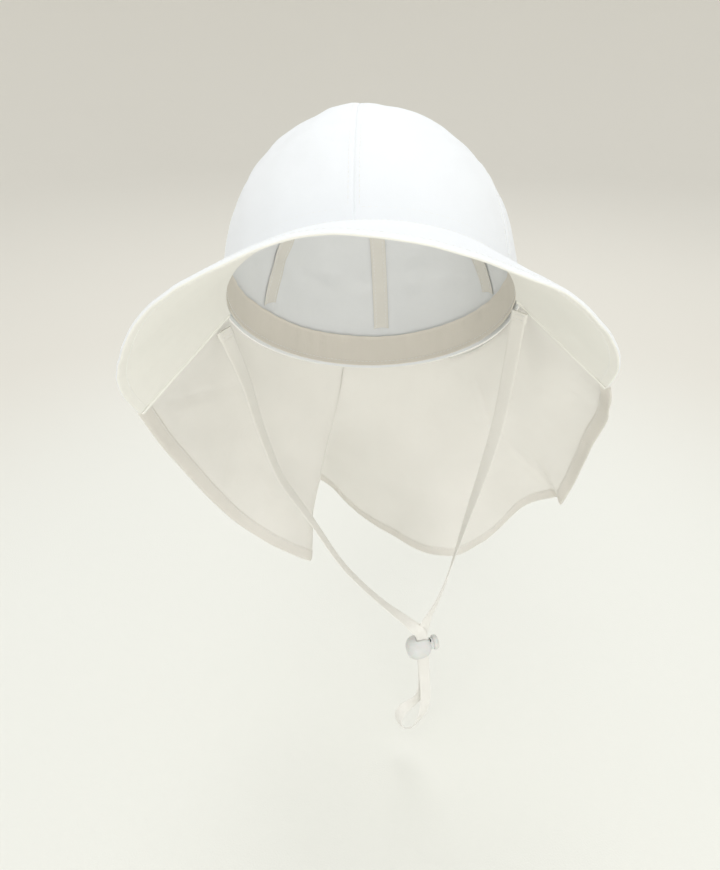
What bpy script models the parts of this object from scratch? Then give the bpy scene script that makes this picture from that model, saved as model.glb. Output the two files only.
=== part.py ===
"""Child's cotton sun hat with a front brim, a neck flap and a chin strap with a cord lock.

The hat is as it sits on a round head form: tipped back so that its front is high, with the
flap hanging behind and the strap hanging free below. Metres, +Z up, front towards -Y.
The origin is the middle of the crown's opening, where the head that wears it comes in.
Hat shapes are made upright, with the crown's axis along +Z, and then tipped by HAT.
"""
import math

import bmesh
import bpy
from mathutils import Matrix, Vector

# ---- driving dimensions, in metres ----
CROWN_HALF_WIDTH = 0.081
CROWN_HALF_DEPTH = 0.091
CROWN_HEIGHT = 0.111
CROWN_WAIST = 1.22          # power on the crown's radius: above 1 draws the sides in
CROWN_ROUNDING = 0.83       # power on the crown's height: below 1 squares the top
TIP_BACK = math.radians(47.0)
LEAN = math.radians(4.0)    # the wearer's right side sits a little lower

CLOTH = 0.0009              # crown panels and flap
LINING = 0.0006             # sweatband, seam tapes and the brim's layers
GAP = 0.0003                # between pieces that touch
LAYER_GAP = 0.0006          # between curved layers whose facets differ

PANEL_COUNT = 6
PANEL_NAMES = ("front_right", "side_right", "back_right", "back_left", "side_left", "front_left")
PANEL_STEPS = 10
CROWN_STEPS = 12
CROWN_TOP = math.radians(88.9)
TAPE_WIDTH = 0.010
TAPE_FOOT = 0.029           # height where the seam tapes end, above the sweatband
TAPE_CROSSING = 0.014       # from the crown's top: within this the tapes lie on each other
TAPE_CROSSING_END = 0.030
TAPE_STEPS = 30
SWEATBAND_FOOT = 0.001
SWEATBAND_HEIGHT = 0.022
SWEATBAND_STEPS = 3

BRIM_END = math.radians(85.0)
BRIM_WIDTH = 0.064
BRIM_WIDTH_SIDE = 0.002     # added towards the sides
BRIM_WIDTH_CORNER = 0.006   # added between front and side
BRIM_DROP = math.radians(35.0)
BRIM_DROP_SIDE = math.radians(17.0)
BRIM_DROP_CORNER = math.radians(2.6)
BRIM_SAG = math.radians(2.8)         # the soft brim hangs lower right of the middle
BRIM_SAG_AT = math.radians(16.0)
BRIM_SAG_REACH = math.radians(22.0)
BRIM_LEFT_FLARE = 0.006     # added at the left end, which spreads more
BRIM_FLARE_FROM = math.radians(50.0)
BRIM_ROOT = 0.0007          # clearance from the crown
BRIM_STEPS = 28
BRIM_RINGS = 5
INTERLINING_MARGIN = 0.004

# Each rib of the flap: the turn on the crown in degrees where it starts, and its end on the hem.
# The left side hem runs from the brim's corner to a fold; behind it the hem goes back and returns.
FLAP_RIBS = (
    (-85.3, None),
    (-105, (-0.1205, -0.026, -0.085)),
    (-132, (-0.092, -0.0035, -0.159)),
    (-158, (-0.048, 0.013, -0.207)),
    (-161, (-0.070, 0.042, -0.212)),
    (-164, (-0.090, 0.081, -0.214)),
    (-167, (-0.082, 0.115, -0.210)),
    (-171, (-0.056, 0.128, -0.218)),
    (-178, (-0.015, 0.105, -0.241)),
    (-187, (0.023, 0.072, -0.240)),
    (-195, (0.060, 0.051, -0.236)),
    (-203, (0.091, 0.064, -0.232)),
    (-210, (0.124, 0.081, -0.206)),
    (-214, (0.145, 0.073, -0.188)),
    (-216.5, (0.147, 0.057, -0.179)),
    (-240, (0.143, 0.007, -0.086)),
    (-258, (0.131, -0.029, -0.040)),
    (-274.7, None),
)
FLAP_STEPS_PER_RIB = 3
FLAP_ROWS = 10
FLAP_FREE_TURN = math.radians(25.0)  # away from the brim's ends the flap hangs by its weight

# ---- chin strap: a flat tape; each point is x, y, z and its width's turn about +Z and dip ----
STRAP_WIDTH = 0.0090
STRAP_THICKNESS = 0.0010
STRAP_SAMPLES = 79
STRAP_FINE = 40             # steps per point when the strap's length is measured
TAB_LENGTH = 0.0055
TAB_MARGIN = 0.0005         # the sewn end is wider than the tape by this at each side
LOCK_TURN = math.radians(18.0)
LOCK_TILT = math.radians(5.0)
LOCK_PLACE = Vector((0.0405, -0.0100, -0.2730))
# The two strands lie face to face in the lock and run straight on below it, so that it can slide.
# Below that the tape makes a loop with half a twist, so the second strand's width is reversed.
STRAP_ROUTE = (
    (-0.0805, -0.0105, -0.0130, 50, 0.0),
    (-0.0732, -0.0101, -0.0410, 68, 0.0),
    (-0.0677, -0.0100, -0.0734, 78, 0.0),
    (-0.0594, -0.0100, -0.1078, 82, -0.05),
    (-0.0504, -0.0100, -0.1274, 84, -0.10),
    (-0.0401, -0.0100, -0.1471, 85, -0.20),
    (-0.0226, -0.0102, -0.1830, 86, -0.30),
    (-0.0078, -0.0104, -0.2052, 86, -0.35),
    (0.0098, -0.0108, -0.2262, 82, -0.30),
    (0.0262, -0.0116, -0.2425, 62, -0.15),
    (0.0368, -0.0122, -0.2537, 26, 0.0),
    (0.0400, -0.0111, -0.2635, 18, 0.0),
    (0.0412, -0.0107, -0.2777, 18, 0.0),
    (0.0423, -0.0103, -0.2918, 18, 0.0),
    (0.0435, -0.0099, -0.3059, 18, 0.0),
    (0.0441, -0.0097, -0.3128, 18, 0.0),
    (0.0458, -0.0105, -0.3324, 20, 0.0),
    (0.0459, -0.0120, -0.3499, 24, -0.05),
    (0.0426, -0.0132, -0.3658, 44, -0.45),
    (0.0366, -0.0136, -0.3784, 78, -1.30),
    (0.0289, -0.0126, -0.3822, 96, -1.50),
    (0.0240, -0.0108, -0.3733, 130, -0.80),
    (0.0270, -0.0088, -0.3628, 160, -0.15),
    (0.0336, -0.0072, -0.3546, 178, -0.05),
    (0.0402, -0.0066, -0.3456, 190, 0.0),
    (0.0434, -0.0070, -0.3322, 198, 0.0),
    (0.0430, -0.0083, -0.3059, 198, 0.0),
    (0.0418, -0.0087, -0.2918, 198, 0.0),
    (0.0407, -0.0091, -0.2777, 198, 0.0),
    (0.0395, -0.0095, -0.2635, 198, 0.0),
    (0.0411, -0.0087, -0.2532, 202, 0.0),
    (0.0430, -0.0092, -0.2420, 214, 0.0),
    (0.0497, -0.0095, -0.2205, 236, 0.0),
    (0.0552, -0.0098, -0.1942, 252, 0.0),
    (0.0646, -0.0100, -0.1375, 280, 0.0),
    (0.0714, -0.0100, -0.1000, 298, 0.0),
    (0.0768, -0.0100, -0.0591, 310, 0.0),
    (0.0795, -0.0105, 0.0005, 318, 0.0),
)

# ---- cord lock, made along its own +X axis with the strands along its Z, then tilted ----
BALL_RADIUS = 0.0093
BALL_BACK = -0.0130
BALL_FRONT = 0.0067
BALL_SQUARENESS = 2.6
BORE_RADIUS = 0.0048
BORE_BACK = -0.0110
SLOT_HALF_LENGTH = 0.0049
SLOT_HALF_HEIGHT = 0.0020
PLUNGER_RADIUS = 0.0045
PLUNGER_BACK = -0.0062
PRESS_TRAVEL = 0.0022
CAP_BACK = 0.0087
CAP_FRONT = 0.0128
CAP_RADIUS = 0.0058
CAP_ROUND = 0.0024
CAP_ROUND_STEPS = 4
BALL_RINGS = 16
ROUND_STEPS = 32
SPRING_WIRE = 0.0002        # half of the wire's thickness
SPRING_RADIUS = 0.0030
SPRING_TURNS = 3.0
SPRING_STEPS = 14

HAT = Matrix.Rotation(-LEAN, 4, "Y") @ Matrix.Rotation(-TIP_BACK, 4, "X")
LOCK = (Matrix.Translation(LOCK_PLACE) @ Matrix.Rotation(LOCK_TURN, 4, "Z")
        @ Matrix.Rotation(-LOCK_TILT, 4, "Y"))

COTTON_WHITE = (0.90, 0.91, 0.91, 1.0)
COTTON_CREAM = (0.80, 0.77, 0.70, 1.0)
TAPE_IVORY = (0.78, 0.74, 0.66, 1.0)
FROSTED_PLASTIC = (0.78, 0.78, 0.74, 1.0)
SPRING_STEEL = (0.55, 0.55, 0.56, 1.0)
CLOTH_ROUGHNESS = 0.9
PLASTIC_ROUGHNESS = 0.45
STEEL_ROUGHNESS = 0.35


# ---- helpers ----
def make_material(name, colour, roughness, metallic=0.0):
    material = bpy.data.materials.new(name)
    material.use_nodes = True
    shader = material.node_tree.nodes["Principled BSDF"]
    shader.inputs["Base Color"].default_value = colour
    shader.inputs["Roughness"].default_value = roughness
    shader.inputs["Metallic"].default_value = metallic
    return material


def add_mesh(name, points, faces, colour, roughness=CLOTH_ROUGHNESS, metallic=0.0,
             smooth_angle=40.0):
    """A named object from points and faces, with its faces turned outwards."""
    mesh = bpy.data.meshes.new(name)
    work = bmesh.new()
    corners = [work.verts.new(point) for point in points]
    for face in faces:
        work.faces.new([corners[index] for index in face])
    bmesh.ops.recalc_face_normals(work, faces=work.faces)
    work.to_mesh(mesh)
    work.free()
    mesh.shade_smooth()
    mesh.set_sharp_from_angle(angle=math.radians(smooth_angle))
    mesh.materials.append(make_material(name, colour, roughness, metallic))
    piece = bpy.data.objects.new(name, mesh)
    bpy.context.scene.collection.objects.link(piece)
    return piece


def add_sheet(name, outer, inner, colour, closed=False):
    """A solid sheet between two equal grids of points, as lists of rows."""
    columns = len(outer)
    rows = len(outer[0])
    points = [point for column in outer for point in column]
    points += [point for column in inner for point in column]
    under = columns * rows
    spans = columns if closed else columns - 1
    faces = []
    for i in range(spans):
        a = i * rows
        b = ((i + 1) % columns) * rows
        for j in range(rows - 1):
            faces.append((a + j, b + j, b + j + 1, a + j + 1))
            faces.append((under + a + j, under + a + j + 1, under + b + j + 1, under + b + j))
        for j in (0, rows - 1):
            faces.append((a + j, b + j, under + b + j, under + a + j))
    if not closed:
        for a in (0, (columns - 1) * rows):
            for j in range(rows - 1):
                faces.append((a + j, a + j + 1, under + a + j + 1, under + a + j))
    return add_mesh(name, points, faces, colour)


def smooth_step(low, high, value):
    t = min(max((value - low) / (high - low), 0.0), 1.0)
    return t * t * (3.0 - 2.0 * t)


def spline(points, where):
    """A smooth curve through the points, at a place counted in points (Catmull-Rom)."""
    last = len(points) - 1
    i = min(int(where), last - 1)
    t = where - i
    p1, p2 = points[i], points[i + 1]
    p0 = points[i - 1] if i > 0 else p1 + (p1 - p2)
    p3 = points[i + 2] if i + 2 <= last else p2 + (p2 - p1)
    return 0.5 * (2.0 * p1 + (p2 - p0) * t + (2.0 * p0 - 5.0 * p1 + 4.0 * p2 - p3) * t * t
                  + (3.0 * p1 - p0 - 3.0 * p2 + p3) * t ** 3)


# ---- crown ----
def crown_point(turn, climb, inset):
    """A point on the crown, from its foot (climb 0) to its top (90 degrees), inset inwards."""
    radius = math.cos(climb) ** CROWN_WAIST
    height = math.sin(climb) ** CROWN_ROUNDING
    return Vector((
        (CROWN_HALF_WIDTH - inset) * radius * math.sin(turn),
        -(CROWN_HALF_DEPTH - inset) * radius * math.cos(turn),
        (CROWN_HEIGHT - inset) * height,
    ))


def crown_over(x, y, inset):
    """The point of the crown, inset inwards, that lies above x, y."""
    reach = math.hypot(x / (CROWN_HALF_WIDTH - inset), y / (CROWN_HALF_DEPTH - inset))
    climb = math.acos(min(reach, 1.0) ** (1.0 / CROWN_WAIST))
    return Vector((x, y, (CROWN_HEIGHT - inset) * math.sin(climb) ** CROWN_ROUNDING))


def make_crown_panels():
    step = 2.0 * math.pi / PANEL_COUNT
    climbs = [CROWN_TOP * j / CROWN_STEPS for j in range(CROWN_STEPS + 1)]
    for k, side in enumerate(PANEL_NAMES):
        layers = []
        for inset in (0.0, CLOTH):
            columns = []
            for i in range(PANEL_STEPS + 1):
                across = i / PANEL_STEPS - 0.5
                column = []
                for climb in climbs:
                    radius = CROWN_HALF_WIDTH * math.cos(climb) ** CROWN_WAIST
                    width = step - GAP / radius
                    column.append(HAT @ crown_point(step * (k + 0.5) + width * across, climb, inset))
                columns.append(column)
            layers.append(columns)
        add_sheet("crown_panel_" + side, layers[0], layers[1], COTTON_WHITE)


def make_sweatband():
    count = PANEL_COUNT * PANEL_STEPS
    top = math.asin((SWEATBAND_HEIGHT / CROWN_HEIGHT) ** (1.0 / CROWN_ROUNDING))
    foot = math.asin((SWEATBAND_FOOT / CROWN_HEIGHT) ** (1.0 / CROWN_ROUNDING))
    layers = []
    for inset in (CLOTH + LAYER_GAP, CLOTH + LAYER_GAP + LINING):
        columns = []
        for i in range(count):
            turn = 2.0 * math.pi * i / count
            columns.append([HAT @ crown_point(turn, foot + (top - foot) * j / SWEATBAND_STEPS, inset)
                            for j in range(SWEATBAND_STEPS + 1)])
        layers.append(columns)
    add_sheet("sweatband", layers[0], layers[1], COTTON_CREAM, closed=True)


def make_seam_tapes():
    """Each tape runs over the crown, from one foot to the opposite one, under two seams."""
    for k in range(PANEL_COUNT // 2):
        turn = 2.0 * math.pi * k / PANEL_COUNT
        along = Vector((math.sin(turn), -math.cos(turn), 0.0))
        across = Vector((math.cos(turn), math.sin(turn), 0.0))
        reach = 1.0 / math.hypot(along.x / CROWN_HALF_WIDTH, along.y / CROWN_HALF_DEPTH)
        foot = math.asin((TAPE_FOOT / CROWN_HEIGHT) ** (1.0 / CROWN_ROUNDING))
        layers = []
        for depth in (0.0, LINING):
            columns = []
            for side in (-0.5, 0.0, 0.5):
                column = []
                for i in range(TAPE_STEPS + 1):
                    climb = foot + (math.pi - 2.0 * foot) * i / TAPE_STEPS
                    radius = math.copysign(abs(math.cos(climb)) ** CROWN_WAIST, math.cos(climb))
                    crossing = 1.0 - smooth_step(TAPE_CROSSING, TAPE_CROSSING_END, abs(reach * radius))
                    inset = CLOTH + LAYER_GAP + k * (LINING + LAYER_GAP) * crossing + depth
                    place = along * ((reach - inset) * radius) + across * (TAPE_WIDTH * side)
                    column.append(HAT @ crown_over(place.x, place.y, inset))
                columns.append(column)
            layers.append(columns)
        add_sheet(f"seam_tape_{k + 1}", layers[0], layers[1], COTTON_CREAM)


# ---- brim and flap ----
def brim_drop(turn):
    side = math.sin(turn) ** 2
    corner = math.sin(2.0 * turn) ** 2
    sag = 1.0 - smooth_step(0.0, BRIM_SAG_REACH, abs(turn - BRIM_SAG_AT))
    return BRIM_DROP + BRIM_DROP_SIDE * side + BRIM_DROP_CORNER * corner + BRIM_SAG * sag


def brim_width(turn):
    side = math.sin(turn) ** 2
    corner = math.sin(2.0 * turn) ** 2
    flare = smooth_step(BRIM_FLARE_FROM, BRIM_END, -turn)
    return BRIM_WIDTH + BRIM_WIDTH_SIDE * side + BRIM_WIDTH_CORNER * corner + BRIM_LEFT_FLARE * flare


def brim_point(turn, out, under=0.0):
    """A point of the brim, out metres from the crown and under metres below its top."""
    drop = brim_drop(turn)
    reach = out * math.cos(drop) - under * math.sin(drop)
    return Vector((
        (CROWN_HALF_WIDTH + reach) * math.sin(turn),
        -(CROWN_HALF_DEPTH + reach) * math.cos(turn),
        -out * math.sin(drop) - under * math.cos(drop),
    ))


def make_brim():
    pitch = LINING + GAP
    layers = (
        ("brim_top", 0.0, 0.0, COTTON_WHITE),
        ("brim_interlining", pitch, INTERLINING_MARGIN, COTTON_WHITE),
        ("brim_under", 2.0 * pitch, 0.0, COTTON_CREAM),
    )
    for name, depth, margin, colour in layers:
        grids = []
        for under in (depth, depth + LINING):
            columns = []
            for i in range(BRIM_STEPS + 1):
                turn = BRIM_END * (2.0 * i / BRIM_STEPS - 1.0)
                width = brim_width(turn) - margin
                outs = [BRIM_ROOT + (width - BRIM_ROOT) * j / BRIM_RINGS for j in range(BRIM_RINGS + 1)]
                columns.append([HAT @ brim_point(turn, out, under) for out in outs])
            grids.append(columns)
        add_sheet(name, grids[0], grids[1], colour)


def flap_ribs():
    """The flap's ribs as (turn, start, start direction, end), smooth between the folds."""
    turns = [Vector((math.radians(rib[0]), 0.0)) for rib in FLAP_RIBS]
    ends = []
    for turn, end in FLAP_RIBS:
        round_turn = math.remainder(math.radians(turn), 2.0 * math.pi)
        corner = HAT @ brim_point(round_turn, brim_width(round_turn))
        ends.append(Vector(end) if end else corner)
    ribs = []
    count = (len(FLAP_RIBS) - 1) * FLAP_STEPS_PER_RIB
    for i in range(count + 1):
        where = i / FLAP_STEPS_PER_RIB
        turn = spline(turns, where).x
        round_turn = math.remainder(turn, 2.0 * math.pi)
        start = HAT @ brim_point(round_turn, BRIM_ROOT)
        out = (HAT @ brim_point(round_turn, BRIM_WIDTH) - start).normalized()
        ribs.append((turn, start, out, spline(ends, where)))
    return ribs


def flap_point(rib, v):
    """A point of a rib: it leaves along the brim's slope and ends hanging down."""
    turn, start, out, end = rib
    end_turn = min(abs(turn - math.radians(FLAP_RIBS[0][0])), abs(turn - math.radians(FLAP_RIBS[-1][0])))
    free = smooth_step(0.0, FLAP_FREE_TURN, end_turn)
    span = end - start
    leave = out * span.length
    arrive = span.lerp(Vector((0.0, 0.0, -span.length)), 0.5 * free)
    h0 = 2.0 * v ** 3 - 3.0 * v ** 2 + 1.0
    h1 = v ** 3 - 2.0 * v ** 2 + v
    h2 = v ** 3 - v ** 2
    return start * h0 + leave * h1 + end * (1.0 - h0) + arrive * h2


def make_flap():
    ribs = flap_ribs()
    outer = [[flap_point(rib, j / FLAP_ROWS) for j in range(FLAP_ROWS + 1)] for rib in ribs]
    inner = []
    for i, column in enumerate(outer):
        before = outer[max(i - 1, 0)]
        after = outer[min(i + 1, len(outer) - 1)]
        inner_column = []
        for j, point in enumerate(column):
            along = column[min(j + 1, FLAP_ROWS)] - column[max(j - 1, 0)]
            across = after[j] - before[j]
            inner_column.append(point + along.cross(across).normalized() * CLOTH)
        inner.append(inner_column)
    add_sheet("flap", outer, inner, COTTON_CREAM)


# ---- chin strap ----
def strap_sections():
    """Evenly spaced places along the strap: (centre, width direction, face direction)."""
    places = [Vector(point[:3]) for point in STRAP_ROUTE]
    turns = [Vector((math.radians(point[3]), point[4])) for point in STRAP_ROUTE]
    count = (len(STRAP_ROUTE) - 1) * STRAP_FINE
    wheres = [i / STRAP_FINE for i in range(count + 1)]
    line = [spline(places, where) for where in wheres]
    length = [0.0]
    for a, b in zip(line, line[1:]):
        length.append(length[-1] + (b - a).length)
    sections = []
    k = 0
    for i in range(STRAP_SAMPLES + 1):
        target = length[-1] * i / STRAP_SAMPLES
        while k < count - 1 and length[k + 1] < target:
            k += 1
        where = (k + (target - length[k]) / (length[k + 1] - length[k])) / STRAP_FINE
        centre = spline(places, where)
        ahead = spline(places, min(where + 0.02, len(places) - 1.0))
        behind = spline(places, max(where - 0.02, 0.0))
        tangent = (ahead - behind).normalized()
        turn, dip = spline(turns, where)
        hint = Vector((math.cos(turn), math.sin(turn), dip))
        width = (hint - tangent * hint.dot(tangent)).normalized()
        sections.append((centre, width, tangent.cross(width)))
    return sections


def make_chin_strap():
    corners = ((-1, -1), (1, -1), (1, 1), (-1, 1))
    sections = strap_sections()
    points = []
    for centre, width, face in sections:
        for a, b in corners:
            points.append(centre + width * (a * STRAP_WIDTH / 2) + face * (b * STRAP_THICKNESS / 2))
    faces = [(0, 1, 2, 3), tuple(len(points) - 4 + k for k in range(4))]
    for i in range(len(sections) - 1):
        for k in range(4):
            n = (k + 1) % 4
            faces.append((4 * i + k, 4 * i + n, 4 * i + 4 + n, 4 * i + 4 + k))
    add_mesh("chin_strap", points, faces, TAPE_IVORY)


def make_strap_tabs():
    """The doubled end of the tape, sewn under the seam between brim and flap."""
    half_width = STRAP_WIDTH / 2 + TAB_MARGIN
    half_thick = STRAP_THICKNESS
    sections = strap_sections()
    for name, section, ahead in (("strap_tab_left", sections[0], sections[1]),
                                 ("strap_tab_right", sections[-1], sections[-2])):
        centre, width, face = section
        up = (centre - ahead[0]).normalized()
        points = []
        for rise in (GAP, TAB_LENGTH):
            for a, b in ((-1, -1), (1, -1), (1, 1), (-1, 1)):
                points.append(centre + up * rise + width * (a * half_width) + face * (b * half_thick))
        faces = [(0, 1, 2, 3), (4, 5, 6, 7)]
        faces += [(k, (k + 1) % 4, (k + 1) % 4 + 4, k + 4) for k in range(4)]
        add_mesh(name, points, faces, TAPE_IVORY)


# ---- cord lock ----
def turned(name, profile, colour, roughness, transform=Matrix()):
    """A solid turned about the X axis from (x, radius) points; the ends lie on the axis."""
    points = [Vector((profile[0][0], 0.0, 0.0))]
    for x, radius in profile[1:-1]:
        for k in range(ROUND_STEPS):
            angle = 2.0 * math.pi * k / ROUND_STEPS
            points.append(Vector((x, radius * math.cos(angle), radius * math.sin(angle))))
    points.append(Vector((profile[-1][0], 0.0, 0.0)))
    rings = len(profile) - 2
    faces = []
    for k in range(ROUND_STEPS):
        n = (k + 1) % ROUND_STEPS
        faces.append((0, 1 + n, 1 + k))
        last = 1 + (rings - 1) * ROUND_STEPS
        faces.append((last + k, last + n, len(points) - 1))
        for ring in range(rings - 1):
            base = 1 + ring * ROUND_STEPS
            faces.append((base + k, base + n, base + ROUND_STEPS + n, base + ROUND_STEPS + k))
    return add_mesh(name, [transform @ point for point in points], faces, colour, roughness)


def cut(piece, cutter):
    modifier = piece.modifiers.new(cutter.name, "BOOLEAN")
    modifier.operation = "DIFFERENCE"
    modifier.object = cutter
    cutter.hide_render = True
    cutter.display_type = "WIRE"


def slot_cutter(name, low, high):
    """A long box along the strands, from low to high along the lock's axis."""
    reach = 2.0 * BALL_RADIUS
    points = []
    for z in (-reach, reach):
        for x, y in ((low, -1), (high, -1), (high, 1), (low, 1)):
            points.append(LOCK @ Vector((x, y * SLOT_HALF_HEIGHT, z)))
    faces = [(0, 1, 2, 3), (4, 5, 6, 7)]
    faces += [(k, (k + 1) % 4, (k + 1) % 4 + 4, k + 4) for k in range(4)]
    return add_mesh(name, points, faces, FROSTED_PLASTIC)


def make_lock_barrel():
    centre = (BALL_BACK + BALL_FRONT) / 2
    half = (BALL_FRONT - BALL_BACK) / 2
    profile = [(BALL_BACK, 0.0)]
    for i in range(1, BALL_RINGS):
        t = math.cos(math.pi * i / BALL_RINGS)
        x = centre - half * t
        radius = BALL_RADIUS * (1.0 - abs(t) ** BALL_SQUARENESS) ** (1.0 / BALL_SQUARENESS)
        profile.append((x, radius))
    profile.append((BALL_FRONT, 0.0))
    barrel = turned("lock_barrel", profile, FROSTED_PLASTIC, PLASTIC_ROUGHNESS, LOCK)
    bore = turned("bore_cutter", [(BORE_BACK, 0.0), (BORE_BACK, BORE_RADIUS), (2 * BALL_FRONT, BORE_RADIUS),
                                  (2 * BALL_FRONT, 0.0)], FROSTED_PLASTIC, PLASTIC_ROUGHNESS, LOCK)
    cut(barrel, bore)
    cut(barrel, slot_cutter("barrel_slot_cutter", -SLOT_HALF_LENGTH, SLOT_HALF_LENGTH))


def make_lock_plunger():
    profile = [
        (PLUNGER_BACK, 0.0),
        (PLUNGER_BACK, PLUNGER_RADIUS),
        (CAP_BACK, PLUNGER_RADIUS),
        (CAP_BACK, CAP_RADIUS),
    ]
    for i in range(CAP_ROUND_STEPS + 1):
        angle = math.pi / 2 * i / CAP_ROUND_STEPS
        profile.append((CAP_FRONT - CAP_ROUND * (1.0 - math.sin(angle)),
                        CAP_RADIUS - CAP_ROUND * (1.0 - math.cos(angle))))
    profile.append((CAP_FRONT, 0.0))
    plunger = turned("lock_plunger", profile, FROSTED_PLASTIC, PLASTIC_ROUGHNESS, LOCK)
    slot = slot_cutter("plunger_slot_cutter", -SLOT_HALF_LENGTH, SLOT_HALF_LENGTH + PRESS_TRAVEL)
    cut(plunger, slot)


def make_lock_spring():
    """A coil between the bore's floor and the plunger's end."""
    low = BORE_BACK + SPRING_WIRE + GAP
    high = PLUNGER_BACK - SPRING_WIRE - GAP
    curve = bpy.data.curves.new("lock_spring", "CURVE")
    curve.dimensions = "3D"
    curve.bevel_depth = SPRING_WIRE
    curve.bevel_resolution = 1
    curve.use_fill_caps = True
    wire = curve.splines.new("POLY")
    count = int(SPRING_TURNS * SPRING_STEPS)
    wire.points.add(count)
    for i in range(count + 1):
        angle = 2.0 * math.pi * i / SPRING_STEPS
        place = LOCK @ Vector((low + (high - low) * i / count,
                               SPRING_RADIUS * math.cos(angle), SPRING_RADIUS * math.sin(angle)))
        wire.points[i].co = (*place, 1.0)
    curve.materials.append(make_material("lock_spring", SPRING_STEEL, STEEL_ROUGHNESS, 1.0))
    spring = bpy.data.objects.new("lock_spring", curve)
    bpy.context.scene.collection.objects.link(spring)


def main():
    for thing in list(bpy.data.objects):
        bpy.data.objects.remove(thing, do_unlink=True)
    make_crown_panels()
    make_sweatband()
    make_seam_tapes()
    make_brim()
    make_flap()
    make_chin_strap()
    make_strap_tabs()
    make_lock_barrel()
    make_lock_plunger()
    make_lock_spring()


main()
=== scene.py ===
"""Looks of the child's sun hat: cotton crown and brim, thin neck flap, tape strap and cord lock.

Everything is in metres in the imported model's frame. The hat's surfaces follow the same formulas
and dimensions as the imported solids, at a finer step, with seams, hems, stitches and soft folds.
"""

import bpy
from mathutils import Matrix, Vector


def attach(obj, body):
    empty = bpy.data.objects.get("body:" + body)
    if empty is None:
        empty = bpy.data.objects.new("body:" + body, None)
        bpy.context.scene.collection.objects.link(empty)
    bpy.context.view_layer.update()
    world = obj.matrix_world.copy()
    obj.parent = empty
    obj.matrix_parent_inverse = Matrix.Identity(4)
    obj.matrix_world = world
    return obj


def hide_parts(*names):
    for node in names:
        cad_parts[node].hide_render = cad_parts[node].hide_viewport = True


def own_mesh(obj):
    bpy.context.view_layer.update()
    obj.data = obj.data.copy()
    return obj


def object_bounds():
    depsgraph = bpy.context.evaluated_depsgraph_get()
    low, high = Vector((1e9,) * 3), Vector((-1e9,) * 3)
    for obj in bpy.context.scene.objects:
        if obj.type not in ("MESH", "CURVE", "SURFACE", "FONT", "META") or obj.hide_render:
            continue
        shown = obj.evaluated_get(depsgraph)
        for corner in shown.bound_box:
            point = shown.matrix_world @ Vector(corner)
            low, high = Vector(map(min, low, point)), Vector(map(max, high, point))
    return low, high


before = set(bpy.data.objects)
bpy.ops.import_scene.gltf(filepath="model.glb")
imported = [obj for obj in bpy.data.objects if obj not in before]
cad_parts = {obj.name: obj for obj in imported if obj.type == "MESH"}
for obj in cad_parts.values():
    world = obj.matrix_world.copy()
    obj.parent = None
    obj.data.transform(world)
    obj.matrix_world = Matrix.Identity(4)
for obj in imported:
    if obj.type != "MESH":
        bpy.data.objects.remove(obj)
CAD_BOX = [list(corner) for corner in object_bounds()]

import math

import bmesh
import bpy
import numpy as np
from mathutils import Matrix, Vector, noise

# ---- the hat's dimensions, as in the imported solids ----
CROWN_HALF_WIDTH = 0.081
CROWN_HALF_DEPTH = 0.091
CROWN_HEIGHT = 0.111
CROWN_WAIST = 1.22
CROWN_ROUNDING = 0.83
CROWN_TOP = math.radians(89.6)
TIP_BACK = math.radians(47.0)
LEAN = math.radians(4.0)
CLOTH = 0.0009
LINING = 0.0006
GAP = 0.0003
LAYER_GAP = 0.0006
TAPE_GAP = 0.00025          # the seam tapes lie on the panels
PANEL_NAMES = ("front_right", "side_right", "back_right", "back_left", "side_left", "front_left")
PANEL_STEP = 2.0 * math.pi / len(PANEL_NAMES)
TAPE_WIDTH = 0.010
TAPE_FOOT = 0.029
TAPE_CROSSING = 0.014
TAPE_CROSSING_END = 0.030
SWEATBAND_FOOT = 0.001
SWEATBAND_HEIGHT = 0.022
BRIM_END = math.radians(85.0)
BRIM_WIDTH = 0.064
BRIM_WIDTH_SIDE = 0.002
BRIM_WIDTH_CORNER = 0.006
BRIM_DROP = math.radians(35.0)
BRIM_DROP_SIDE = math.radians(17.0)
BRIM_DROP_CORNER = math.radians(2.6)
BRIM_SAG = math.radians(2.8)
BRIM_SAG_AT = math.radians(16.0)
BRIM_SAG_REACH = math.radians(22.0)
BRIM_LEFT_FLARE = 0.006
BRIM_FLARE_FROM = math.radians(50.0)
BRIM_ROOT = 0.0007
BRIM_THICK = 0.0024
EDGE_THICK = 0.0016          # the brim thins towards its pressed edge
EDGE_THINS = 0.012
FLAP_RIBS = (
    (-85.3, None),
    (-105, (-0.1205, -0.026, -0.085)),
    (-132, (-0.092, -0.0035, -0.159)),
    (-158, (-0.048, 0.013, -0.207)),
    (-161, (-0.070, 0.042, -0.212)),
    (-164, (-0.090, 0.081, -0.214)),
    (-167, (-0.082, 0.115, -0.210)),
    (-171, (-0.056, 0.128, -0.218)),
    (-178, (-0.015, 0.105, -0.241)),
    (-187, (0.023, 0.072, -0.240)),
    (-195, (0.060, 0.051, -0.236)),
    (-203, (0.091, 0.064, -0.232)),
    (-210, (0.124, 0.081, -0.206)),
    (-214, (0.145, 0.073, -0.188)),
    (-216.5, (0.147, 0.057, -0.179)),
    (-240, (0.143, 0.007, -0.086)),
    (-258, (0.131, -0.029, -0.040)),
    (-274.7, None),
)
FLAP_FREE_TURN = math.radians(25.0)
STRAP_WIDTH = 0.0090
STRAP_THICKNESS = 0.0010
TAB_LENGTH = 0.0055
TAB_MARGIN = 0.0005
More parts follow.
